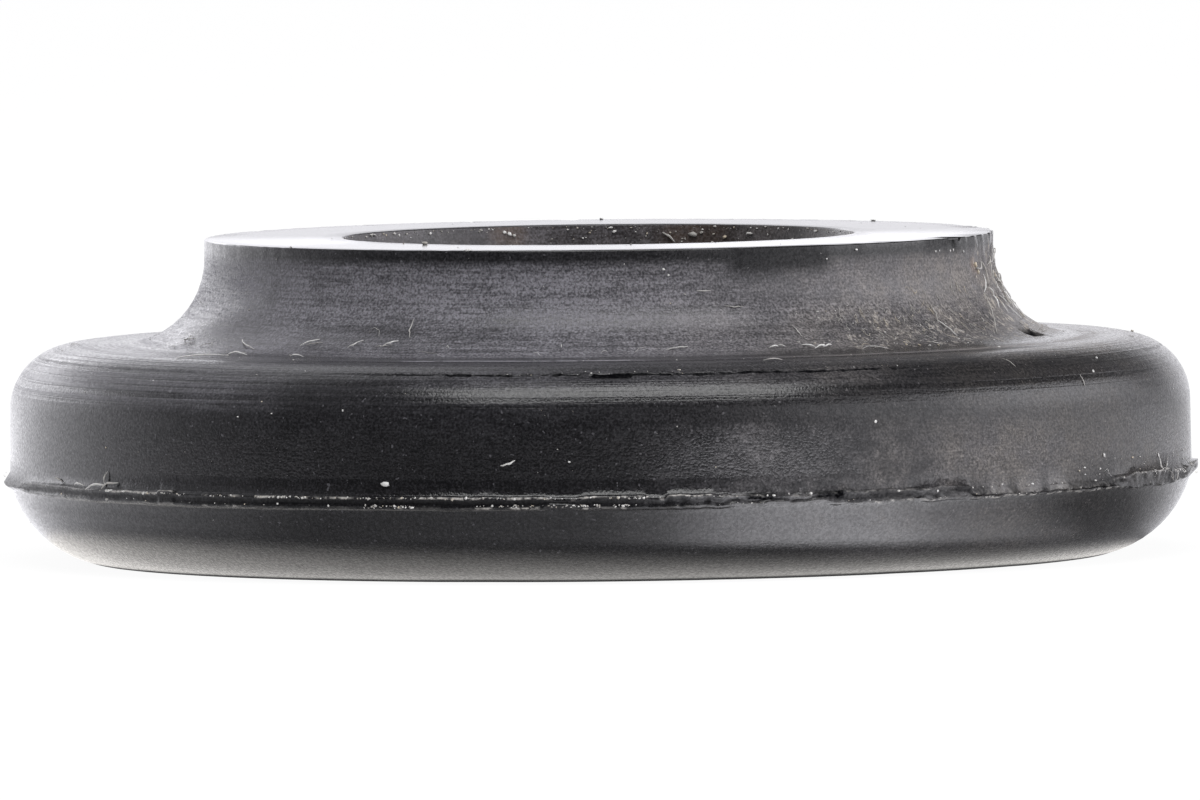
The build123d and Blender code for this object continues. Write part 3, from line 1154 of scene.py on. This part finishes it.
# %% Scatter the rest of the grains
SCATTERS = (
    # where, how many, from angle, to angle, from, to (along the skin), least and most size
    ("neck root", 150, -180, 180, down_to(5.3), out_to(10.4), 0.010, 0.040),
    ("right of the neck's root", 170, 26, 66, down_to(5.2), down_to(4.45), 0.012, 0.045),
    ("neck", 70, -180, 180, neck_start, down_to(5.3), 0.010, 0.034),
    ("shoulder and side", 110, -180, 180, rim_turn, flash_start, 0.010, 0.034),
    ("upper lip", 150, -180, 180, flash_start + 0.12, flash_start + 0.17, 0.014, 0.055),
    ("upper lip, left", 130, -56, 5, flash_start + 0.12, flash_start + 0.17, 0.02, 0.07),
    ("lower lip", 130, -180, 180, flash_end - 0.17, flash_end - 0.12, 0.014, 0.055),
    ("lower lip, torn", 30, -23, -18, flash_end - 0.16, flash_end - 0.10, 0.02, 0.06),
    ("lower lip, front", 50, -12, 3, flash_end - 0.16, flash_end - 0.12, 0.02, 0.06),
    ("side over the right tear", 40, 52, 80, flash_start - 0.35, flash_start, 0.012, 0.05),
    ("underside", 60, -180, 180, flash_end, distance[-1] - 1, 0.010, 0.030),
    ("top of the bore", 150, 90, 270, bore_end - 0.45, bore_end - 0.02, 0.012, 0.06),
    ("beside the crease", 26, -14, 34, witness - 0.16, witness + 0.02, 0.012, 0.05),
    ("edge of the bore", 110, 90, 270, bore_end - 0.10, bore_end - 0.03, 0.014, 0.05),
    ("upper face", 30, -180, 180, bore_end, neck_start, 0.010, 0.030),
)
for name, count, angle_from, angle_to, start, end, least, most in SCATTERS:
    for _ in range(count):
        size = least + (most - least) * draw.uniform() ** 2.5
        grains.append(lay_grain(draw.uniform(angle_from, angle_to), draw.uniform(start, end),
                                size, draw.uniform(0.8, 1.8), draw.uniform(0.20, 0.95)))
count = len(grains)
dust_grains = join(grains, "dust_grains")
bpy.data.objects.remove(grain)
print(count, "grains,", len(dust_grains.data.polygons), "faces")

# %% [markdown]
# ## Lint finish
# The tint painted on each bit runs from straw through grey to nearly white. The fibre is
# dull, and a little noise keeps two neighbours from being the same.

# %% Lint finish
STRAW_DARK, STRAW_LIGHT = (0.66, 0.54, 0.38, 1), (0.85, 0.78, 0.66, 1)
FIBRE_GREY, FIBRE_WHITE = (0.52, 0.50, 0.47, 1), (0.95, 0.94, 0.92, 1)


def make_lint():
    material = bpy.data.materials.new("lint")
    nodes = Nodes(material)
    fleck = nodes.noise(nodes.place_in_mm(), 9.0, 2.0)
    tint = nodes.painted("tint")
    straw = nodes.mix(fleck, STRAW_DARK, STRAW_LIGHT)
    pale = nodes.mix(tint.step(0.4, 1.0), FIBRE_GREY, FIBRE_WHITE)
    colour = nodes.mix(tint.step(0.15, 0.40), straw, pale)
    shader = nodes.add("BsdfPrincipled", {}, {
        "Base Color": colour, "Roughness": 0.6 + 0.25 * fleck, "IOR": 1.45})
    nodes.add("OutputMaterial", {}, {"Surface": shader})
    return material


lint_finish = make_lint()
for piece in (lint_fibres, dust_grains):
    piece.data.materials.clear()
    piece.data.materials.append(lint_finish)
    pick(piece)
    bpy.ops.object.shade_smooth()
print("lint has", len(lint_finish.node_tree.nodes), "nodes")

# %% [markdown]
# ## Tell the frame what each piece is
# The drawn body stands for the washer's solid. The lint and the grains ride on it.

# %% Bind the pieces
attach(body, "root")
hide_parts("sealing_washer")
for piece in (lint_fibres, dust_grains):
    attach(piece, "root")
print("pieces:", body.name, lint_fibres.name, dust_grains.name)

# %% [markdown]
# ## Floor
# A plain pale floor. The camera sees it nearly white, so that it runs into the backdrop with
# no edge, and the part of it that stays diffuse keeps the soft shadow under the washer. The
# glossy rubber mirrors what lies round it, so rays that come off the rubber see a laid table
# instead: a bright sheet of paper under the washer, painted dark under the seat as a painted
# contact shadow, a dark ring at its edge, the bench around that, and the room beyond. All but
# the sheet change with the bearing, seen from the washer.

# %% Shades of the bench and the room, by bearing
def bearings(*stops):
    """Stops for a ramp from bearings in degrees, right of the camera being positive."""
    return [(degrees / 360 + 0.5, shade) for degrees, shade in stops]


LOW_ROOM = bearings((-180, 0.70), (-150, 1.05), (-115, 0.68), (-89, 0.28), (-65, 0.06),
                    (-10, 0.03), (19, 0.11), (40, 0.36), (61, 0.80), (88, 0.95), (120, 0.60),
                    (145, 0.36), (166, 0.67), (180, 0.70))
MID_ROOM = bearings((-180, 0.70), (-172, 1.90), (-150, 2.15), (-136, 1.60), (-120, 0.75),
                    (-108, 0.30), (-65, 0.08), (-30, 0.03), (20, 0.10), (52, 0.80),
                    (75, 1.0), (95, 1.55), (118, 1.15), (130, 0.75), (140, 0.12), (155, 0.08),
                    (163, 0.22), (180, 0.70))
HIGH_ROOM = bearings((-180, 0.15), (-168, 0.60), (-142, 0.55), (-109, 0.20), (-85, 0.20),
                     (-60, 0.06), (0, 0.05), (50, 0.10), (107, 0.08), (150, 0.06),
                     (180, 0.15))
BENCH = bearings((-180, 0.9), (-150, 1.0), (-127, 0.95), (-107, 0.95), (-80, 0.68),
                 (-50, 0.46), (-30, 0.15), (-10, 0.25), (2, 0.35), (9, 0.75), (18, 2.1),
                 (26, 2.5), (34, 2.3), (41, 1.20), (48, 0.80), (56, 0.40), (64, 0.12),
                 (77, 0.12), (84, 0.26), (110, 0.60), (146, 0.90), (180, 0.90))
RING = bearings((-180, 0.9), (-100, 0.9), (-70, 0.45), (-30, 0.15), (40, 0.15), (110, 0.15),
                (140, 0.5), (180, 0.9))
CEILING = 0.06
COOL_TINT = (0.99, 0.985, 1.03)
ROOM_STRENGTH = 2.0
print("room: ramps of", len(LOW_ROOM), "and", len(MID_ROOM), "bearings")

# %% Floor
FLOOR_WIDTH = 6.0
FLOOR_GLOW = 0.945
SHADOW_SHARE = 0.10
SHEET_COLOUR = (1.98, 1.92, 1.86, 1)
SHEET_CENTRE = (0.5 * MM, 0, 0)
PALE_GREY = (0.8, 0.8, 0.8, 1)
# The floor under the washer's seat, as the rubber mirrors it, is painted this dark: a painted
# contact shadow.
PAINTED_CONTACT_SHADOW = (0.15, 0.15, 0.15, 1)
WHITE = (1, 1, 1, 1)
FLOOR_DROP = 0.001 * MM
# where each zone of the table gives way to the next, from and to a distance off the middle
CONTACT_SHADOW_ENDS = (10.42 * MM, 10.56 * MM)
SHEET_ENDS = (10.8 * MM, 11.7 * MM)
RING_ENDS = (11.6 * MM, 12.1 * MM)
BENCH_ENDS = (26 * MM, 55 * MM)


def seen_directly(nodes):
    """1 for rays from the camera, from mirror reflections and through clear things."""
    camera, glossy, clear = (nodes.ray(kind) for kind in ("Camera", "Glossy", "Transmission"))
    return camera.math("MAXIMUM", camera, glossy.math("MAXIMUM", glossy, clear))


bpy.ops.object.select_all(action="DESELECT")
bpy.ops.mesh.primitive_plane_add(size=FLOOR_WIDTH, location=(0, 0, -FLOOR_DROP))
floor = bpy.context.object
floor.name = "floor"
floor_paint = bpy.data.materials.new("floor_paint")
nodes = Nodes(floor_paint)
seen = seen_directly(nodes)
pale = nodes.mix(seen, PALE_GREY, (SHADOW_SHARE, SHADOW_SHARE, SHADOW_SHARE, 1))
matt = nodes.add("BsdfDiffuse", {}, {"Color": pale})
spot = nodes.add("TexCoord", {}, {}, "Object")
under = nodes.vector("LENGTH", {0: spot}, "Value")
spot = nodes.add("Mapping", {}, {"Vector": spot, "Location": SHEET_CENTRE})
spread = nodes.vector("LENGTH", {0: spot}, "Value")
x, y, _ = nodes.split(spot)
bench, room, ring = (nodes.ramp(stops, x, y) for stops in (BENCH, LOW_ROOM, RING))
beyond = nodes.mix(spread.step(*BENCH_ENDS), bench, room)
beyond = nodes.mix(spread.step(*RING_ENDS), ring, beyond)
beyond = nodes.vector("MULTIPLY", {0: beyond, 1: COOL_TINT})
beyond = nodes.vector("SCALE", {0: beyond, "Scale": ROOM_STRENGTH})
# Under the seat the sheet is painted dark, a painted contact shadow.
sheet = nodes.mix(under.step(*CONTACT_SHADOW_ENDS), PAINTED_CONTACT_SHADOW, SHEET_COLOUR)
mirrored = nodes.mix(spread.step(*SHEET_ENDS), sheet, beyond)
shade = nodes.mix(nodes.ray("Camera"), mirrored, WHITE)
glow = nodes.add("Emission", {}, {"Color": shade, "Strength": seen * FLOOR_GLOW})
painted = nodes.add("AddShader", {}, {0: matt, 1: glow})
nodes.add("OutputMaterial", {}, {"Surface": painted})
floor.data.materials.append(floor_paint)
print("floor:", FLOOR_WIDTH, "m wide")

# %% [markdown]
# ## The room
# Glossy black shows the room more than itself, so the room is built with care. The camera
# sees plain white. Everything else is lit by a soft room of three levels that change slowly
# with the bearing: low walls that are dim in front and on the left and pale on the right and
# behind, a middle level that is brightest behind on the left, and a dim upper level that
# comes down lower behind than in front. The ceiling is dark.

# %% World
LOW_ENDS, MID_ENDS, HIGH_ENDS = (0.06, 0.36), (0.57, 0.63), (0.82, 0.95)
BACKWARD_SLOPE = 0.30


def make_world():
    world = bpy.data.worlds.new("room")
    nodes = Nodes(world)
    x, y, z = nodes.split(nodes.add("TexCoord", {}, {}, "Generated"))
    low_room, mid_room, high_room = (
        nodes.ramp(stops, x, y) for stops in (LOW_ROOM, MID_ROOM, HIGH_ROOM))
    shade = nodes.mix(z.step(*LOW_ENDS), low_room, mid_room)
    climb = z + BACKWARD_SLOPE * y.math("MAXIMUM", y, 0.0)
    shade = nodes.mix(climb.step(*MID_ENDS), shade, high_room)
    shade = nodes.mix(z.step(*HIGH_ENDS), shade, (CEILING, CEILING, CEILING, 1))
    shade = nodes.vector("MULTIPLY", {0: shade, 1: COOL_TINT})
    room = nodes.add("Background", {}, {"Color": shade, "Strength": ROOM_STRENGTH})
    white = nodes.add("Background", {}, {"Color": WHITE, "Strength": 1.0})
    seen = nodes.add("MixShader", {}, {0: nodes.ray("Camera"), 1: room, 2: white})
    nodes.add("OutputWorld", {}, {"Surface": seen})
    return world


bpy.context.scene.world = make_world()
print("world:", bpy.context.scene.world.name)

# %% [markdown]
# ## Lamps
# One softbox hangs in front of the washer and high above it, and draws the bright band along
# the shoulder. Its power follows from the brightness it shows, so that it stays at a plain
# level: power is brightness times area times pi.

# %% Lamps
def softbox(name, bearing, elevation, distance_off, width, depth, brightness):
    lamp = bpy.data.lights.new(name, "AREA")
    lamp.shape = "RECTANGLE"
    lamp.size = width
    lamp.size_y = depth
    lamp.energy = brightness * width * depth * math.pi
    box = link(name, lamp)
    turn, lift = math.radians(bearing), math.radians(elevation)
    away = Vector((math.sin(turn) * math.cos(lift), -math.cos(turn) * math.cos(lift),
                   math.sin(lift)))
    box.location = away * distance_off
    box.rotation_euler = away.to_track_quat("Z", "Y").to_euler()
    box.visible_camera = False
    return box


softbox("overhead_softbox", bearing=7, elevation=68, distance_off=0.25,
        width=0.23, depth=0.12, brightness=4.2)
print("lamps:", [lamp.name for lamp in bpy.data.lights])

# %% [markdown]
# ## Camera
# A long lens half a metre off and less than three centimetres above the bench, so the washer
# is seen almost from the side and its round top is a thin ellipse. The camera leans by a
# little over half a degree, as a hand-set one does.

# %% Camera
CAMERA_DISTANCE = 0.4874
CAMERA_ELEVATION = math.radians(2.65)
CAMERA_ROLL = math.radians(0.629)
AIM_RIGHT, AIM_UP = -0.0026 * MM, -0.1145 * MM
LENS_LENGTH, SENSOR_WIDTH = 720, 36     # both in millimetres
NEAREST = 0.01
middle = Vector((0, 0, OVERALL_HEIGHT * MM / 2))
facing = Matrix.Rotation(math.pi / 2 - CAMERA_ELEVATION, 4, "X") @ Matrix.Rotation(
    -CAMERA_ROLL, 4, "Z")
right, up, back = (facing.to_3x3().col[i] for i in range(3))
lens = bpy.data.cameras.new("camera")
lens.sensor_width = SENSOR_WIDTH
lens.lens = LENS_LENGTH
lens.clip_start = NEAREST
camera = link("camera", lens)
camera.matrix_world = Matrix.Translation(
    middle + right * AIM_RIGHT + up * AIM_UP + back * CAMERA_DISTANCE) @ facing
bpy.context.scene.camera = camera
bpy.context.scene.view_settings.view_transform = "Standard"
print("camera", round(CAMERA_DISTANCE * 1000), "mm away, lens", LENS_LENGTH, "mm")
